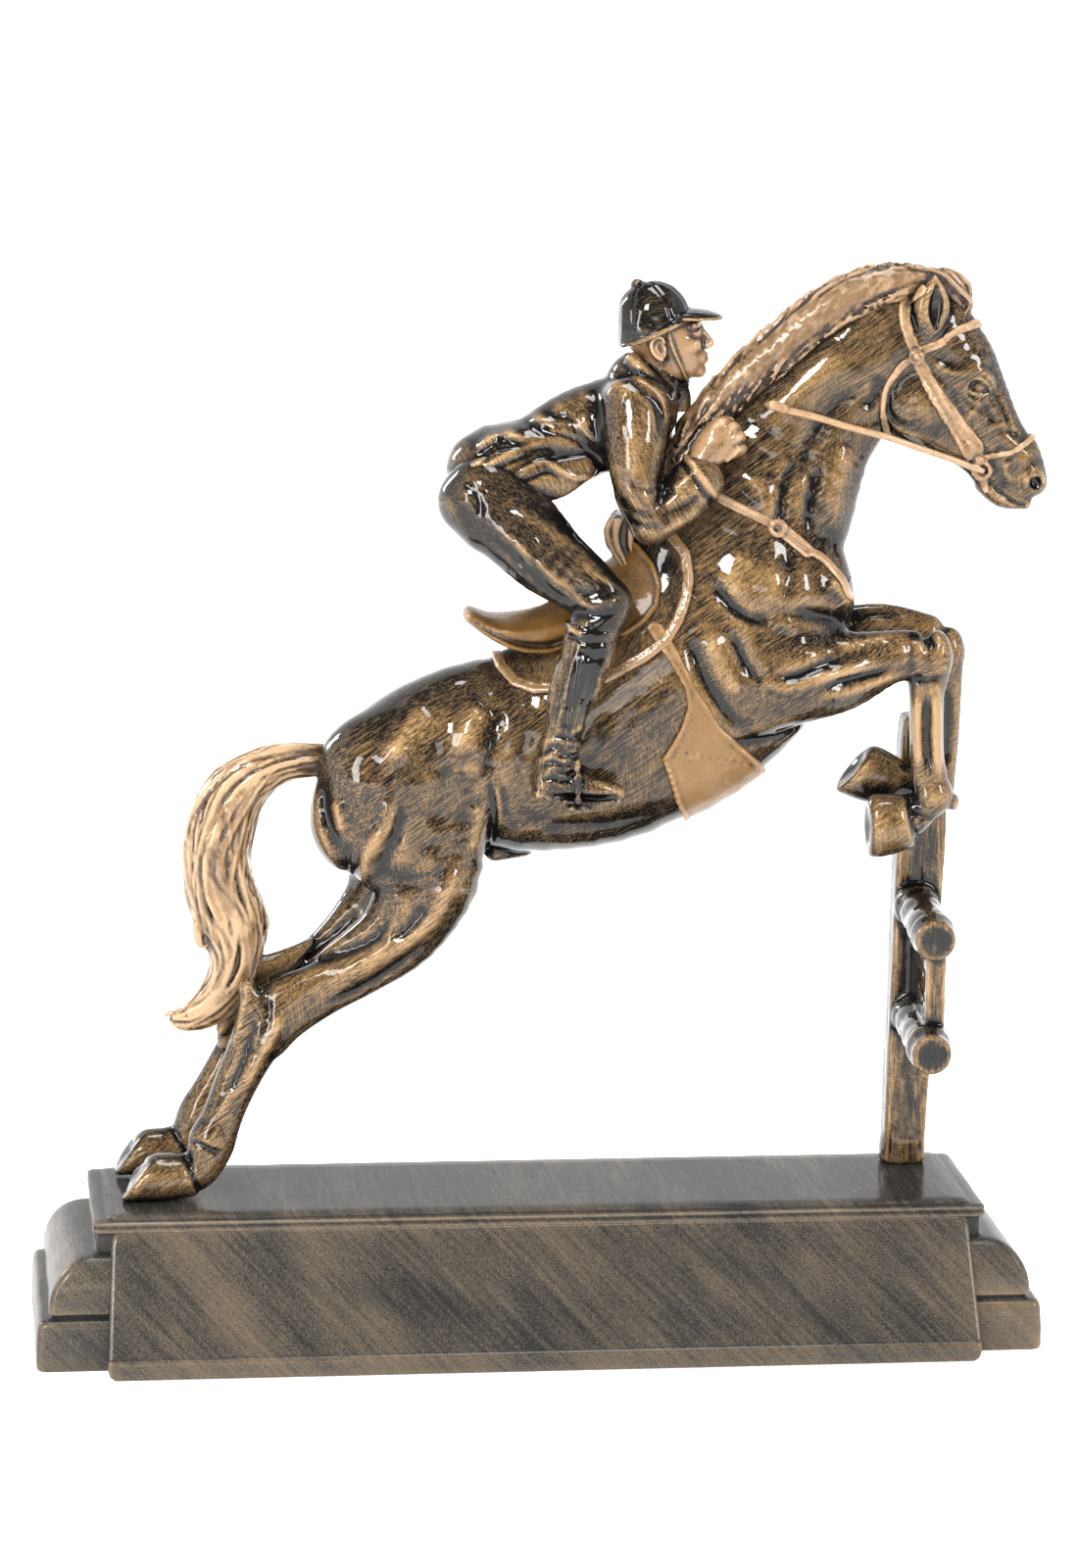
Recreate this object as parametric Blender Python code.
"""Show-jumping award: a horse and rider clearing a rail fence, on a stepped plinth.

Units are metres, +Z up, X along the plinth (the horse jumps towards +X), -Y is the side that faces the
viewer. The origin is the middle of the plinth's underside.

The figure is set out on a side drawing, 1100 wide and 1600 high, seen from a little above and a little to
the left. u runs right and v runs down on that drawing. at(u, v, y) gives the point of the model that lies
at (u, v) of the drawing and at depth y, in millimetres from the plinth's middle plane.
"""
import math

import bmesh
import bpy
from mathutils import Matrix, Vector

MM = 0.001

# ---------------------------------------------------------------- driving sizes, in millimetres
PLINTH_LENGTH = 198.4        # lowest step
PLINTH_DEPTH = 50.0
STEP_HEIGHT = 10.1           # lowest step
OVOLO_FOOT = (193.6, 47.5, 10.8)
NECK = (176.0, 37.6)         # the upright band above the ovolo
NECK_BOTTOM, NECK_TOP = 21.8, 28.2
TOP_PLATE = (170.4, 34.4)
PLINTH_TOP = 28.9
PANEL_LENGTH_TOP, PANEL_LENGTH_FOOT = 168.5, 171.5
PANEL_FOOT_Y, PANEL_TOP_Y = -31.5, -18.7
PANEL_TOP_Z = 26.3
PANEL_BAND = 4.2             # the plain band along the panel's foot

POST_LEFT, POST_RIGHT = (72.7, 73.4), (80.9, 83.3)   # at the foot and near the top
POST_Y = (8.1, 14.6)         # front and back face
POST_TOP = 121.6
RAIL_X = (75.4, 77.5)        # at the free end and at the post
RAIL_Z = (60.2, 83.0)
RAIL_RADIUS = 4.4
RAIL_END_Y = -22.5
BOARD_THICK = 3.9
BOARD_END_Y = -16.0

FLANK_Y = -15.0              # the near flank, where the saddle cloth and girth are drawn
GAP = 0.3                    # clear space between two pieces that touch

# ---------------------------------------------------------------- the side drawing
EYE_AZIMUTH, EYE_HEIGHT, EYE_TILT = math.radians(-7.2), math.radians(12.0), math.radians(1.0)
EYE_DISTANCE = 960.0
DRAWING_SCALE = 5000.0       # drawing units per unit of slope
EYE_AIM = Vector((-0.2, 0.0, 110.3))
UNIT = EYE_DISTANCE / DRAWING_SCALE   # one drawing unit at the middle plane, in millimetres

_back = Vector((math.sin(EYE_AZIMUTH) * math.cos(EYE_HEIGHT),
                -math.cos(EYE_AZIMUTH) * math.cos(EYE_HEIGHT), math.sin(EYE_HEIGHT)))
_eye = EYE_AIM + _back * EYE_DISTANCE
_side = (-_back).cross(Vector((0, 0, 1))).normalized()
_rise = _side.cross(-_back)
_right = _side * math.cos(EYE_TILT) + _rise * math.sin(EYE_TILT)
_up = _rise * math.cos(EYE_TILT) - _side * math.sin(EYE_TILT)


def at(u, v, y=0.0):
    """The model point, in metres, seen at (u, v) of the drawing and y millimetres behind the middle plane."""
    ray = -_back + _right * ((u - 550.0) / DRAWING_SCALE) - _up * ((v - 800.0) / DRAWING_SCALE)
    return (_eye + ray * ((y - _eye.y) / ray.y)) * MM


# ---------------------------------------------------------------- the anatomy
# Each row of a limb is (u, v, y, half-thickness across the limb in drawing units, half-width in mm).
HORSE = {
    "trunk": [(374, 836, 0, 54, 11.5), (418, 800, 0, 88, 15.0), (482, 770, 0, 95, 15.4), (545, 766, 0, 106, 15.8),
              (617, 743, 0, 119, 16.2), (695, 688, 0, 131, 15.8), (760, 634, 0, 118, 14.6), (806, 608, 0, 80, 12.0)],
    "neck": [(742, 586, 0, 108, 12.0), (786, 506, 0, 92, 9.8), (822, 438, 0, 74, 7.6), (868, 386, 0, 66, 6.6),
             (908, 352, 0, 58, 6.0), (934, 340, 0, 46, 5.4)],
    "head": [(948, 336, 0, 44, 5.6), (963, 382, 0, 55, 6.4), (985, 419, 0, 51, 5.6), (1011, 453, 0, 39, 4.3),
             (1034, 480, 0, 34, 4.0), (1042, 498, 0, 26, 3.6)],
    "near_forearm": [(776, 690, -9.5, 66, 6.0), (822, 690, -9.0, 50, 5.8), (862, 684, -8.0, 42, 5.0),
                     (905, 671, -7.0, 29, 4.4), (930, 668, -6.6, 27, 4.2), (946, 674, -6.4, 26, 4.1)],
    "near_fore_cannon": [(946, 674, -6.4, 26, 4.1), (947, 702, -6.2, 21, 3.8), (947, 750, -6.0, 19, 3.4),
                         (948, 790, -5.8, 19.5, 3.5), (952, 812, -5.8, 20, 3.7)],
    "near_fore_foot": [(952, 812, -5.8, 19, 3.7), (938, 830, -5.8, 17, 3.4), (922, 840, -5.9, 21, 4.0)],
    "far_forearm": [(796, 684, 8.0, 62, 5.5), (850, 655, 7.4, 38, 5.0), (900, 643, 6.2, 29, 4.2), (945, 650, 4.6, 25, 3.8),
                    (962, 668, 4.2, 23, 3.6)],
    "far_fore_cannon": [(962, 668, 4.2, 23, 3.6), (963, 702, 4.2, 20, 3.4), (962, 750, 4.3, 18, 3.3),
                        (958, 795, 4.3, 18, 3.4), (955, 808, 4.2, 18, 3.4)],
    "far_fore_foot": [(955, 808, 4.2, 18, 3.4), (932, 800, 3.8, 16, 3.3), (912, 795, 3.5, 21, 3.8)],
    "near_thigh": [(412, 800, -6.5, 82, 8.8), (424, 850, -7.5, 78, 8.6), (434, 898, -8.0, 56, 7.4),
                   (410, 948, -7.6, 44, 6.0), (367, 982, -7.0, 37, 5.0), (327, 1007, -6.4, 33, 4.4),
                   (289, 1031, -6.0, 34, 4.2), (266, 1056, -6.0, 32, 4.0)],
    "near_hind_cannon": [(276, 1040, -6.0, 32, 4.1), (257, 1072, -6.0, 27, 3.8), (240, 1107, -6.0, 24, 3.5),
                         (227, 1139, -6.0, 23, 3.6), (216, 1166, -6.0, 25, 4.1), (206, 1190, -6.0, 21, 3.8),
                         (192, 1200, -6.2, 21, 4.0)],
    "far_thigh": [(405, 800, 7.0, 78, 8.2), (412, 856, 7.6, 70, 8.0), (400, 905, 8.0, 50, 6.6), (368, 940, 8.2, 34, 5.2),
                  (334, 974, 8.4, 28, 4.4), (296, 1002, 8.6, 26, 4.1), (268, 1022, 8.8, 26, 4.0)],
    "far_hind_cannon": [(274, 1014, 8.8, 26, 4.0), (253, 1052, 9.0, 24, 3.6), (232, 1086, 9.0, 22, 3.4),
                        (216, 1112, 9.2, 21, 3.5), (204, 1136, 9.4, 24, 4.0), (190, 1160, 9.6, 19, 3.7),
                        (178, 1166, 9.8, 19, 3.8)],
    "tail": [(330, 775, 0, 21, 4.6), (292, 777, 0, 21, 5.0), (262, 790, 0, 25, 5.6), (236, 815, 0, 31, 6.2),
             (223, 855, 0, 33, 6.6), (223, 900, 0, 35, 6.8), (236, 940, 0.5, 37, 6.6), (238, 975, 1.0, 27, 5.4),
             (232, 1003, 1.5, 22, 4.6), (215, 1025, 2.0, 20, 3.8), (194, 1038, 2.0, 14, 3.0), (178, 1040, 2.0, 9, 2.0)],
    "crest": [(712, 448, 0, 26, 4.2), (746, 412, 0, 29, 4.4), (796, 374, 0, 30, 4.4), (846, 330, 0, 30, 4.4),
              (898, 300, 0, 28, 4.4), (946, 294, 0, 23, 4.6), (972, 302, 0, 20, 4.4), (984, 320, 0, 13, 3.8)],
    "sheath": [(505, 868, 0, 12, 3.0), (535, 866, 0, 9, 2.4)],
}
# Hooves are cut cones: the two ends of the sole and of the coronet on the drawing, the depth y of the middle of
# each, and the half-width of the sole in mm.
HOOVES = {
    "near_hind": ((152, 1179), (119, 1225), -6.4, (190, 1178), (204, 1219), -6.0, 5.0),
    "far_hind": ((142, 1154), (113, 1199), 10.2, (178, 1152), (194, 1192), 9.8, 4.8),
    "near_fore": ((885, 812), (885, 876), -6.0, (924, 812), (934, 863), -5.9, 5.0),
    "far_fore": ((890, 759), (850, 806), 3.0, (926, 778), (898, 820), 3.4, 4.3),
}
# Muscles and joints: (u, v, y), half-sizes (along, across, in drawing units), half-width in mm, turn in degrees.
MUSCLES = [
    ((398, 792, -4.0), (76, 66), 11.5, -20), ((398, 792, 4.0), (76, 66), 11.5, -20),      # croup
    ((370, 838, -4.5), (54, 56), 8.5, -50), ((370, 832, 5.0), (54, 56), 8.5, -50),        # buttocks
    ((207, 957, -1.5), (12, 16), 2.6, 20),                                                # stray lock of the tail
    ((795, 612, -5.0), (62, 58), 9.0, 0), ((795, 612, 5.0), (62, 58), 9.0, 0),            # shoulder
    ((835, 600, -3.5), (34, 48), 7.0, 0), ((835, 600, 3.5), (34, 48), 7.0, 0),            # breast
    ((938, 410, -2.0), (36, 38), 4.4, 0), ((938, 410, 2.0), (36, 38), 4.4, 0),            # cheek
    ((956, 668, -6.4), (17, 26), 4.2, 0), ((968, 662, 4.4), (17, 24), 3.8, 0),            # knees
    ((950, 316, -4.6), (15, 30), 2.0, -8), ((950, 316, 4.6), (15, 30), 2.0, -8),          # ears
]
RIDER = {
    "body": [(492, 482, 0, 42, 9.0), (534, 474, 0, 40, 8.4), (582, 446, 0, 44, 8.8), (622, 434, 0, 48, 10.2),
             (655, 420, 0, 40, 10.2), (668, 402, 0, 24, 6.4)],
    "neck": [(650, 408, 0, 34, 6.4), (664, 380, 0, 27, 5.0), (676, 360, 0, 26, 4.8)],
    "near_arm": [(650, 418, -9.5, 30, 5.0), (643, 455, -11.5, 28, 5.2), (652, 502, -13.0, 24, 4.6),
                 (664, 534, -13.4, 20, 4.2)],
    "near_forearm": [(664, 534, -13.4, 20, 4.2), (690, 513, -12.6, 24, 4.6), (714, 486, -11.6, 26, 4.8)],
    "near_hand": [(712, 488, -11.6, 17, 3.4), (728, 463, -10.8, 16, 3.2), (740, 448, -10.2, 19, 3.4)],
    "far_arm": [(650, 418, 9.5, 30, 5.0), (662, 450, 11.5, 27, 4.8), (690, 490, 12.6, 22, 4.4), (712, 470, 11.6, 22, 4.2),
                (732, 450, 10.0, 17, 3.4)],
    "near_leg": [(492, 508, -5.5, 46, 8.0), (525, 536, -9.0, 45, 7.4), (562, 570, -13.5, 39, 6.6),
                 (598, 598, -16.8, 34, 5.6), (620, 618, -18.0, 26, 5.0)],
    "far_leg": [(498, 508, 5.5, 48, 8.0), (530, 534, 9.0, 45, 7.4), (566, 566, 13.5, 39, 6.6),
                (602, 594, 16.8, 34, 5.6), (624, 612, 18.0, 26, 5.0)],
    "near_shin": [(614, 630, -18.0, 27, 5.0), (600, 668, -18.6, 27, 4.8), (586, 704, -18.8, 25, 4.4),
                  (576, 742, -18.8, 20, 3.8), (571, 778, -18.8, 23, 3.9)],
    "far_shin": [(618, 624, 18.0, 27, 5.0), (604, 662, 18.6, 27, 4.8), (590, 698, 18.8, 25, 4.4),
                 (580, 736, 18.8, 20, 3.8), (575, 772, 18.8, 23, 3.9)],
    "near_foot": [(560, 796, -18.8, 15, 3.4), (590, 799, -18.8, 13, 3.6), (622, 804, -18.8, 10, 3.4), (632, 806, -18.8, 7, 2.6)],
    "far_foot": [(564, 790, 18.8, 15, 3.4), (594, 793, 18.8, 13, 3.6), (626, 798, 18.8, 10, 3.4), (636, 800, 18.8, 7, 2.6)],
    "coat_tail": [(500, 458, 0, 22, 8.6), (540, 448, 0, 20, 8.6), (575, 446, 0, 20, 8.4)],
    "coat_front": [(575, 470, 0, 22, 8.0), (610, 462, 0, 24, 8.6), (640, 440, 0, 24, 9.0)],
    "near_rein": [(748, 440, -10.4, 4.0, 0.8), (800, 420, -10.6, 4.0, 0.8), (850, 432, -9.6, 4.0, 0.8),
                  (900, 444, -8.4, 4.0, 0.8), (950, 460, -6.6, 4.0, 0.8), (1006, 480, -4.0, 4.0, 0.8)],
    "far_rein": [(748, 440, 10.4, 4.0, 0.8), (800, 420, 10.6, 4.0, 0.8), (850, 432, 9.6, 4.0, 0.8),
                 (900, 444, 8.4, 4.0, 0.8), (950, 460, 6.6, 4.0, 0.8), (1006, 480, 4.0, 4.0, 0.8)],
    "seat": [(486, 630, 0, 11, 7.0), (520, 640, 0, 16, 10.5), (560, 640, 0, 22, 10.5), (600, 612, 0, 24, 8.5),
             (628, 566, 0, 20, 6.0), (634, 545, 0, 14, 4.4)],
}
RIDER_BLOBS = [
    ((671, 326, 0), (37, 40), 6.8, 0),           # cap
    ((696, 354, 0), (27, 36), 5.2, 6),           # head
    ((711, 323, 0), (27, 7), 5.6, 6),            # peak
    ((712, 376, 0), (13, 16), 3.4, 0),           # chin
    ((653, 291, 0), (6, 6), 1.2, 0),             # button on the cap
]
# The saddle cloth and the flap lie on the horse's side: their outlines on the drawing.
CLOTH = [(494, 655), (506, 684), (521, 701), (545, 708), (585, 703), (622, 692), (660, 672), (686, 652), (703, 622),
         (709, 592), (704, 562), (688, 540), (640, 530), (590, 600), (540, 640)]
FLAP = [(560, 640), (600, 655), (640, 645), (662, 634), (673, 618), (676, 596), (667, 574), (650, 556), (630, 540),
        (600, 580)]
GIRTH = [(660, 640), (676, 632), (714, 698), (736, 742), (777, 779), (810, 820), (705, 850), (684, 798), (672, 770),
         (694, 742), (702, 722), (698, 700)]

# ---------------------------------------------------------------- making shapes
def flowing(rows, per_step=4):
    """Rows read along a smooth curve through them."""
    out = []
    for i in range(len(rows) - 1):
        p0 = rows[max(i - 1, 0)]
        p1, p2 = rows[i], rows[i + 1]
        p3 = rows[min(i + 2, len(rows) - 1)]
        for k in range(per_step):
            t = k / per_step
            out.append(tuple(0.5 * (2 * b + (c - a) * t + (2 * a - 5 * b + 4 * c - d) * t * t
                                    + (3 * b - a - 3 * c + d) * t ** 3) for a, b, c, d in zip(p0, p1, p2, p3)))
    out.append(tuple(rows[-1]))
    return out


def add_ring(bm, centre, across, depth, ra, rd, sides):
    return [bm.verts.new(centre + across * (ra * math.cos(a)) + depth * (rd * math.sin(a)))
            for a in (2 * math.pi * k / sides for k in range(sides))]


def bridge(bm, a, b):
    n = len(a)
    for k in range(n):
        bm.faces.new((a[k], a[(k + 1) % n], b[(k + 1) % n], b[k]))


def add_limb(bm, rows, sides=16, grow=0.0):
    """A closed limb through the rows, oval across, with rounded ends. grow is added to every half-size, in mm."""
    rows = flowing(rows)
    pts = [at(r[0], r[1], r[2]) for r in rows]
    rings = []
    last = len(pts) - 1
    for i, (p, r) in enumerate(zip(pts, rows)):
        t = (pts[min(i + 1, last)] - pts[max(i - 1, 0)]).normalized()
        across = Vector((0, 1, 0)).cross(t).normalized()
        depth = t.cross(across)
        ra, rd = (r[3] * UNIT + grow) * MM, (r[4] + grow) * MM
        if i == 0:
            for s in (75, 45, 20):
                c, q = math.cos(math.radians(s)), math.sin(math.radians(s))
                rings.append(add_ring(bm, p - t * (min(ra, rd) * q), across, depth, ra * c, rd * c, sides))
        rings.append(add_ring(bm, p, across, depth, ra, rd, sides))
        if i == last:
            for s in (20, 45, 75):
                c, q = math.cos(math.radians(s)), math.sin(math.radians(s))
                rings.append(add_ring(bm, p + t * (min(ra, rd) * q), across, depth, ra * c, rd * c, sides))
    for a, b in zip(rings, rings[1:]):
        bridge(bm, a, b)
    bm.faces.new(list(reversed(rings[0])))
    bm.faces.new(rings[-1])


def add_muscle(bm, where, halves, width, turn):
    """An oval muscle: halves are along and across it on the drawing, width is its half-width in mm."""
    m = (Matrix.Translation(at(*where)) @ Matrix.Rotation(math.radians(-turn), 4, "Y")
         @ Matrix.Diagonal((halves[0] * UNIT * MM, width * MM, halves[1] * UNIT * MM, 1)))
    bmesh.ops.create_icosphere(bm, subdivisions=3, radius=1.0, matrix=m)


def add_hoof(bm, sole_a, sole_b, sole_y, top_a, top_b, top_y, width, sides=20):
    """A cut cone from the coronet back to the slanting sole."""
    def ring(a, b, y, shift, scale):
        pa, pb = at(a[0], a[1], y), at(b[0], b[1], y)
        across = (pa - pb) / 2
        return add_ring(bm, (pa + pb) / 2 + shift, across.normalized(), Vector((0, 1, 0)),
                        across.length * scale, width * scale * MM, sides)

    t = ((at(*sole_a, sole_y) + at(*sole_b, sole_y)) - (at(*top_a, top_y) + at(*top_b, top_y))).normalized()
    rings = [ring(top_a, top_b, top_y, t * -0.003, 0.72), ring(top_a, top_b, top_y, t * 0.0, 0.9),
             ring(sole_a, sole_b, sole_y, t * -0.0008, 1.0), ring(sole_a, sole_b, sole_y, t * 0.0, 0.94)]
    for a, b in zip(rings, rings[1:]):
        bridge(bm, a, b)
    bm.faces.new(list(reversed(rings[0])))
    bm.faces.new(rings[-1])


def new_object(name, bm):
    bmesh.ops.recalc_face_normals(bm, faces=bm.faces[:])
    mesh = bpy.data.meshes.new(name)
    bm.to_mesh(mesh)
    bm.free()
    obj = bpy.data.objects.new(name, mesh)
    bpy.context.scene.collection.objects.link(obj)
    return obj


def helper(name, bm):
    obj = new_object(name, bm)
    obj.hide_render = True
    obj.display_type = "WIRE"
    return obj


def slab(name, outline, y_from, y_to):
    """An outline drawn on the near flank, pushed straight across from y_from to y_to (mm)."""
    flat = [at(u, v, FLANK_Y) for u, v in outline]
    bm = bmesh.new()
    front = [bm.verts.new((p.x, y_from * MM, p.z)) for p in flat]
    back = [bm.verts.new((p.x, y_to * MM, p.z)) for p in flat]
    bridge(bm, front, back)
    bm.faces.new(list(reversed(front)))
    bm.faces.new(back)
    return helper(name, bm)


def apply_modifiers(obj):
    """Replaces the object's mesh with the evaluated one."""
    graph = bpy.context.evaluated_depsgraph_get()
    mesh = bpy.data.meshes.new_from_object(obj.evaluated_get(graph))
    obj.modifiers.clear()
    obj.data = mesh


def boolean(obj, other, operation):
    mod = obj.modifiers.new(operation.title(), "BOOLEAN")
    mod.operation = operation
    mod.solver = "MANIFOLD"
    mod.object = other
    return mod


def material(name, colour, metallic, roughness):
    mat = bpy.data.materials.new(name)
    mat.use_nodes = True
    shader = mat.node_tree.nodes["Principled BSDF"]
    shader.inputs["Base Color"].default_value = (*colour, 1)
    shader.inputs["Metallic"].default_value = metallic
    shader.inputs["Roughness"].default_value = roughness
    return mat


def box_mesh(bm, x, y, z):
    """A box from its low and high coordinates, in mm."""
    size = Vector((x[1] - x[0], y[1] - y[0], z[1] - z[0])) * MM
    mid = Vector((x[0] + x[1], y[0] + y[1], z[0] + z[1])) * (MM / 2)
    bmesh.ops.create_cube(bm, size=1.0, matrix=Matrix.Translation(mid) @ Matrix.Diagonal((*size, 1)))


# ---------------------------------------------------------------- the plinth
def plinth_profile():
    """(length, depth, height) of every level ring, from the underside up."""
    rings = [(PLINTH_LENGTH - 1.0, PLINTH_DEPTH - 1.0, 0.0), (PLINTH_LENGTH, PLINTH_DEPTH, 0.6),
             (PLINTH_LENGTH - 0.8, PLINTH_DEPTH - 0.8, STEP_HEIGHT - 0.7),
             (PLINTH_LENGTH - 2.0, PLINTH_DEPTH - 2.0, STEP_HEIGHT),
             (OVOLO_FOOT[0], OVOLO_FOOT[1], STEP_HEIGHT + 0.05), (OVOLO_FOOT[0], OVOLO_FOOT[1], OVOLO_FOOT[2] + 0.6)]
    steps = 7
    low = OVOLO_FOOT[2] + 0.6
    for k in range(1, steps + 1):          # the quarter-round
        a = math.radians(90 * k / steps)
        f = 1 - math.cos(a)
        rings.append((OVOLO_FOOT[0] + (NECK[0] - OVOLO_FOOT[0]) * f, OVOLO_FOOT[1] + (NECK[1] - OVOLO_FOOT[1]) * f,
                      low + (NECK_BOTTOM - low) * math.sin(a)))
    rings += [(NECK[0] - 0.6, NECK[1] - 0.6, NECK_BOTTOM + 0.3), (NECK[0] - 0.6, NECK[1] - 0.6, NECK_TOP - 1.7),
              (NECK[0], NECK[1], NECK_TOP - 1.3), (NECK[0], NECK[1], NECK_TOP - 0.4),
              (NECK[0] - 0.9, NECK[1] - 0.9, NECK_TOP),
              (TOP_PLATE[0], TOP_PLATE[1], NECK_TOP + 0.05), (TOP_PLATE[0], TOP_PLATE[1], PLINTH_TOP - 0.5),
              (TOP_PLATE[0] - 1.0, TOP_PLATE[1] - 1.0, PLINTH_TOP)]
    return rings


def level_ring(bm, length, depth, z, corner=1.4):
    """A rectangle with cut corners."""
    x, y, c = length / 2, depth / 2, corner
    pts = [(x - c, -y), (x - c * 0.3, -y + c * 0.3), (x, -y + c), (x, y - c), (x - c * 0.3, y - c * 0.3), (x - c, y),
           (-x + c, y), (-x + c * 0.3, y - c * 0.3), (-x, y - c), (-x, -y + c), (-x + c * 0.3, -y + c * 0.3), (-x + c, -y)]
    return [bm.verts.new((px * MM, py * MM, z * MM)) for px, py in pts]


def make_plinth():
    bm = bmesh.new()
    rings = [level_ring(bm, *r) for r in plinth_profile()]
    for a, b in zip(rings, rings[1:]):
        bridge(bm, a, b)
    bm.faces.new(list(reversed(rings[0])))
    bm.faces.new(rings[-1])
    body = new_object("plinth", bm)

    # The blank name panel on the viewer's side: a sloping plate with a band along its foot.
    bm = bmesh.new()
    outline = [(PANEL_FOOT_Y + 1.0, -0.5), (PANEL_FOOT_Y, 0.9), (PANEL_FOOT_Y, PANEL_BAND - 0.5),
               (PANEL_FOOT_Y + 0.7, PANEL_BAND), (PANEL_TOP_Y - 0.4, PANEL_TOP_Z - 0.4), (PANEL_TOP_Y + 0.5, PANEL_TOP_Z),
               (-10.0, PANEL_TOP_Z), (-10.0, -0.5)]

    def end(side):
        ring = []
        for y, z in outline:
            f = z / PLINTH_TOP
            half = (PANEL_LENGTH_FOOT * (1 - f) + PANEL_LENGTH_TOP * f) / 2
            ring.append(bm.verts.new((side * half * MM, y * MM, z * MM)))
        return ring

    left, right = end(-1), end(1)
    bridge(bm, left, right)
    bm.faces.new(list(reversed(left)))
    bm.faces.new(right)
    panel = helper("panel_form", bm)
    bevel = panel.modifiers.new("Bevel", "BEVEL")
    bevel.width, bevel.segments, bevel.limit_method, bevel.angle_limit = 0.5 * MM, 2, "ANGLE", math.radians(50)
    apply_modifiers(panel)
    boolean(body, panel, "UNION")
    apply_modifiers(body)
    bm = bmesh.new()                        # the underside is one flat plane
    box_mesh(bm, (-120, 120), (-60, 60), (-5, 0.0))
    foot = helper("plinth_trim", bm)
    boolean(body, foot, "DIFFERENCE")
    apply_modifiers(body)
    return body


# ---------------------------------------------------------------- the fence
def make_fence():
    bm = bmesh.new()
    rings = []
    for z, narrow in ((PLINTH_TOP + GAP, 0.0), (PLINTH_TOP + 12.0, 0.2), (70.0, 0.2), (95.0, 0.0), (110.0, 0.3),
                      (POST_TOP - 2.6, 1.2), (POST_TOP - 0.7, 2.6), (POST_TOP, 3.6)):
        f = min(1.0, (z - PLINTH_TOP) / 66.0)
        x0 = POST_LEFT[0] + (POST_LEFT[1] - POST_LEFT[0]) * f + narrow * 0.5
        x1 = POST_RIGHT[0] + (POST_RIGHT[1] - POST_RIGHT[0]) * f - narrow
        y0, y1 = POST_Y[0] + narrow * 0.2, POST_Y[1] - narrow * 0.5
        rings.append([bm.verts.new((px * MM, py * MM, z * MM)) for px, py in ((x0, y0), (x1, y0), (x1, y1), (x0, y1))])
    for a, b in zip(rings, rings[1:]):
        bridge(bm, a, b)
    bm.faces.new(list(reversed(rings[0])))
    bm.faces.new(rings[-1])
    post = new_object("rail_fence", bm)
    bevel = post.modifiers.new("Bevel", "BEVEL")
    bevel.width, bevel.segments, bevel.limit_method, bevel.angle_limit = 0.8 * MM, 2, "ANGLE", math.radians(60)
    apply_modifiers(post)

    def rail_x(y):
        return RAIL_X[0] + (RAIL_X[1] - RAIL_X[0]) * (y - RAIL_END_Y) / (POST_Y[0] - RAIL_END_Y)

    for k, z in enumerate(RAIL_Z):
        # a turned rail: (radius, y) from the post forward to the rounded, slightly waisted end
        profile = [(RAIL_RADIUS, POST_Y[0] + 3.0), (RAIL_RADIUS + 0.5, POST_Y[0] - 0.8), (RAIL_RADIUS, POST_Y[0] - 2.4),
                   (RAIL_RADIUS + 0.1, RAIL_END_Y + 8.0), (RAIL_RADIUS + 0.45, RAIL_END_Y + 5.5),
                   (RAIL_RADIUS - 0.1, RAIL_END_Y + 4.6), (RAIL_RADIUS, RAIL_END_Y + 1.2),
                   (RAIL_RADIUS - 0.5, RAIL_END_Y + 0.2), (RAIL_RADIUS - 1.2, RAIL_END_Y)]
        bm = bmesh.new()
        rings = [add_ring(bm, Vector((rail_x(y) * MM, y * MM, z * MM)), Vector((1, 0, 0)), Vector((0, 0, 1)),
                          r * MM, r * MM, 20) for r, y in profile]
        for a, b in zip(rings, rings[1:]):
            bridge(bm, a, b)
        bm.faces.new(list(reversed(rings[0])))
        bm.faces.new(rings[-1])
        boolean(post, helper("rail_%d" % k, bm), "UNION")
        apply_modifiers(post)
    bm = bmesh.new()                        # the board set on edge between the two rails
    ends = (BOARD_END_Y, POST_Y[0] + 2.0)
    corners = [(rail_x(y) + 1.2 + side * BOARD_THICK / 2, y) for y, side in
               ((ends[0], -1), (ends[0], 1), (ends[1], 1), (ends[1], -1))]
    low = [bm.verts.new((x * MM, y * MM, (RAIL_Z[0] + 2.0) * MM)) for x, y in corners]
    high = [bm.verts.new((x * MM, y * MM, (RAIL_Z[1] - 2.0) * MM)) for x, y in corners]
    bridge(bm, low, high)
    bm.faces.new(list(reversed(low)))
    bm.faces.new(high)
    boolean(post, helper("board", bm), "UNION")
    apply_modifiers(post)
    return post


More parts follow.
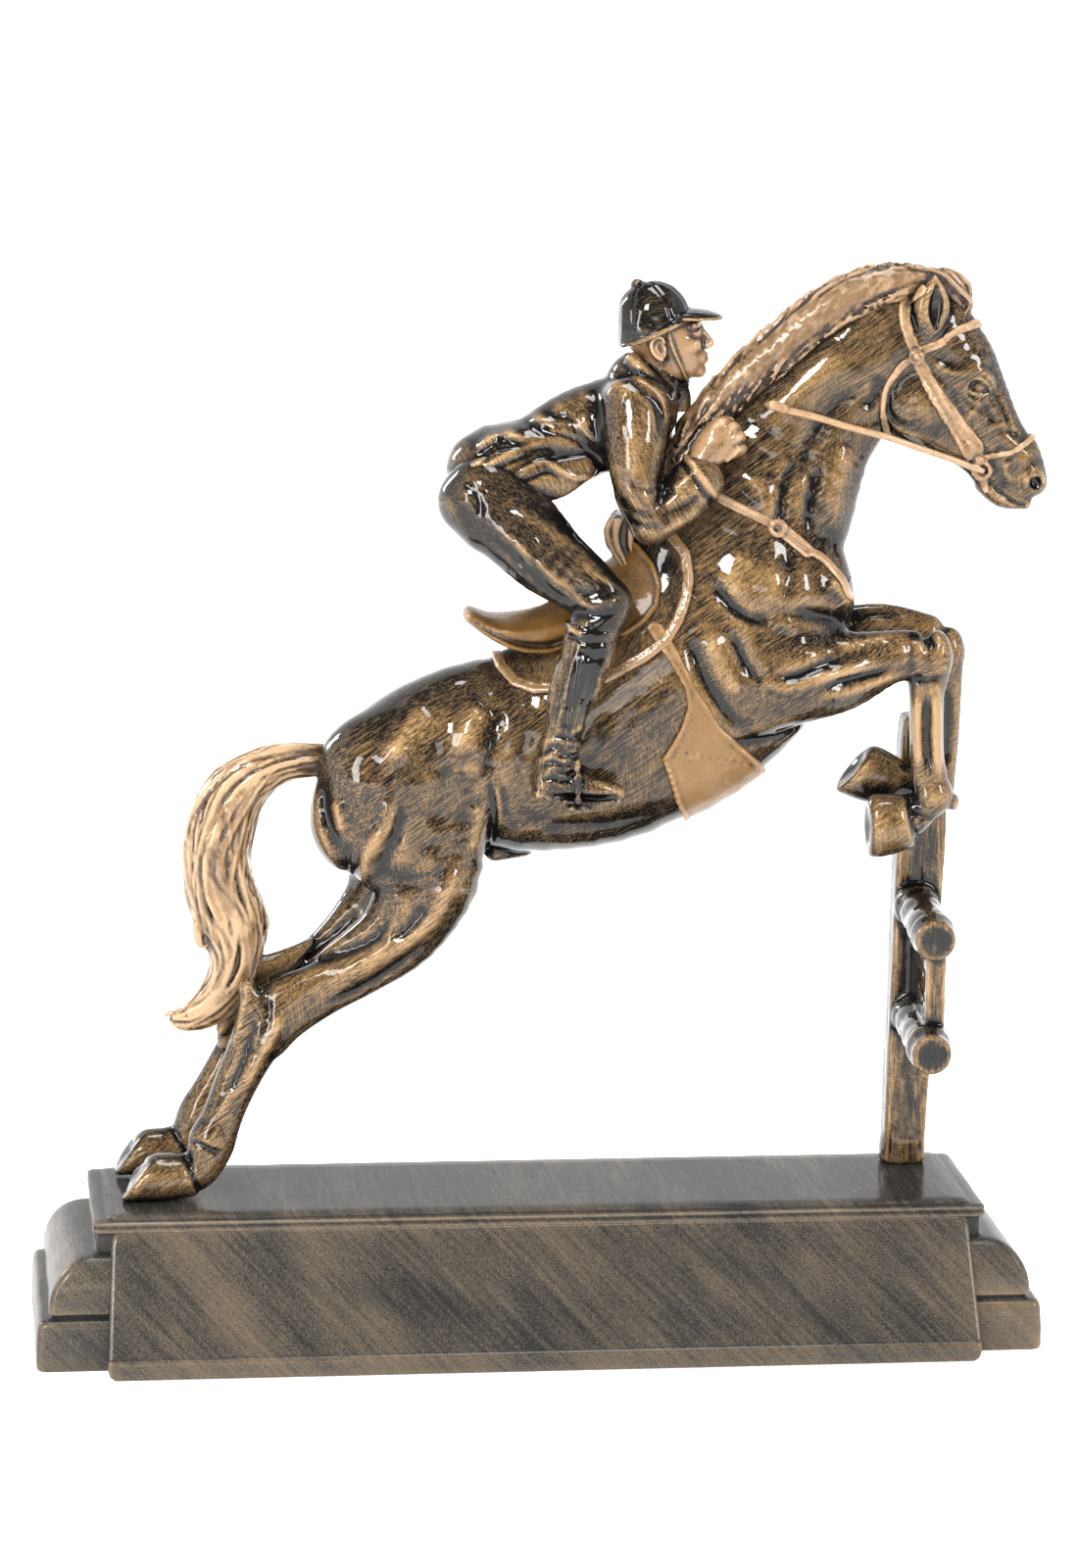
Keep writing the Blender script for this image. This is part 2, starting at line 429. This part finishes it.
# ---------------------------------------------------------------- the horse and rider
def lay_on(name, outline, grow, y_reach=30.0):
    """A layer that lies on both sides of the trunk: the trunk grown by grow mm, inside an outline of the drawing."""
    bm = bmesh.new()
    add_limb(bm, HORSE["trunk"], sides=28, grow=grow)
    layer = helper(name, bm)
    boolean(layer, slab(name + "_outline", outline, -y_reach, y_reach), "INTERSECT")
    apply_modifiers(layer)
    return layer


def make_figure():
    bm = bmesh.new()
    for rows in HORSE.values():
        add_limb(bm, rows)
    for args in MUSCLES + RIDER_BLOBS:
        add_muscle(bm, *args)
    for args in HOOVES.values():
        add_hoof(bm, *args)
    for rows in RIDER.values():
        add_limb(bm, rows, sides=14)
    figure = new_object("horse_and_rider", bm)
    for layer in (lay_on("cloth", CLOTH, 1.0), lay_on("flap", FLAP, 1.9), lay_on("girth", GIRTH, 0.9)):
        bm = bmesh.new()
        bm.from_mesh(figure.data)
        bm.from_mesh(layer.data)
        bm.to_mesh(figure.data)
        bm.free()
    remesh = figure.modifiers.new("Skin", "REMESH")      # every limb melts into one skin
    remesh.mode, remesh.voxel_size, remesh.adaptivity = "VOXEL", 0.55 * MM, 0.0
    apply_modifiers(figure)
    smooth = figure.modifiers.new("Soften", "SMOOTH")
    smooth.factor, smooth.iterations = 0.5, 3
    apply_modifiers(figure)
    thin = figure.modifiers.new("Thin", "DECIMATE")
    thin.decimate_type, thin.ratio = "COLLAPSE", 8200.0 / max(1, 2 * len(figure.data.polygons))
    apply_modifiers(figure)
    bm = bmesh.new()                        # hooves stand flat on the plinth
    box_mesh(bm, (-120, 0), (-40, 40), (PLINTH_TOP - 12.0, PLINTH_TOP + GAP))
    boolean(figure, helper("ground", bm), "DIFFERENCE")
    apply_modifiers(figure)
    return figure


for old in list(bpy.data.objects):
    bpy.data.objects.remove(old)

plinth = make_plinth()
plinth.data.materials.clear()
plinth.data.materials.append(material("plinth_bronze", (0.10, 0.08, 0.06), 0.5, 0.45))
fence = make_fence()
fence.data.materials.clear()
fence.data.materials.append(material("fence_bronze", (0.12, 0.09, 0.06), 0.5, 0.4))
figure = make_figure()
figure.data.materials.clear()
figure.data.materials.append(material("figure_bronze", (0.13, 0.09, 0.05), 0.5, 0.3))
for obj in (plinth, fence, figure):
    for poly in obj.data.polygons:
        poly.material_index = 0
    obj.data.shade_smooth()
    obj.data.set_sharp_from_angle(angle=math.radians(40))
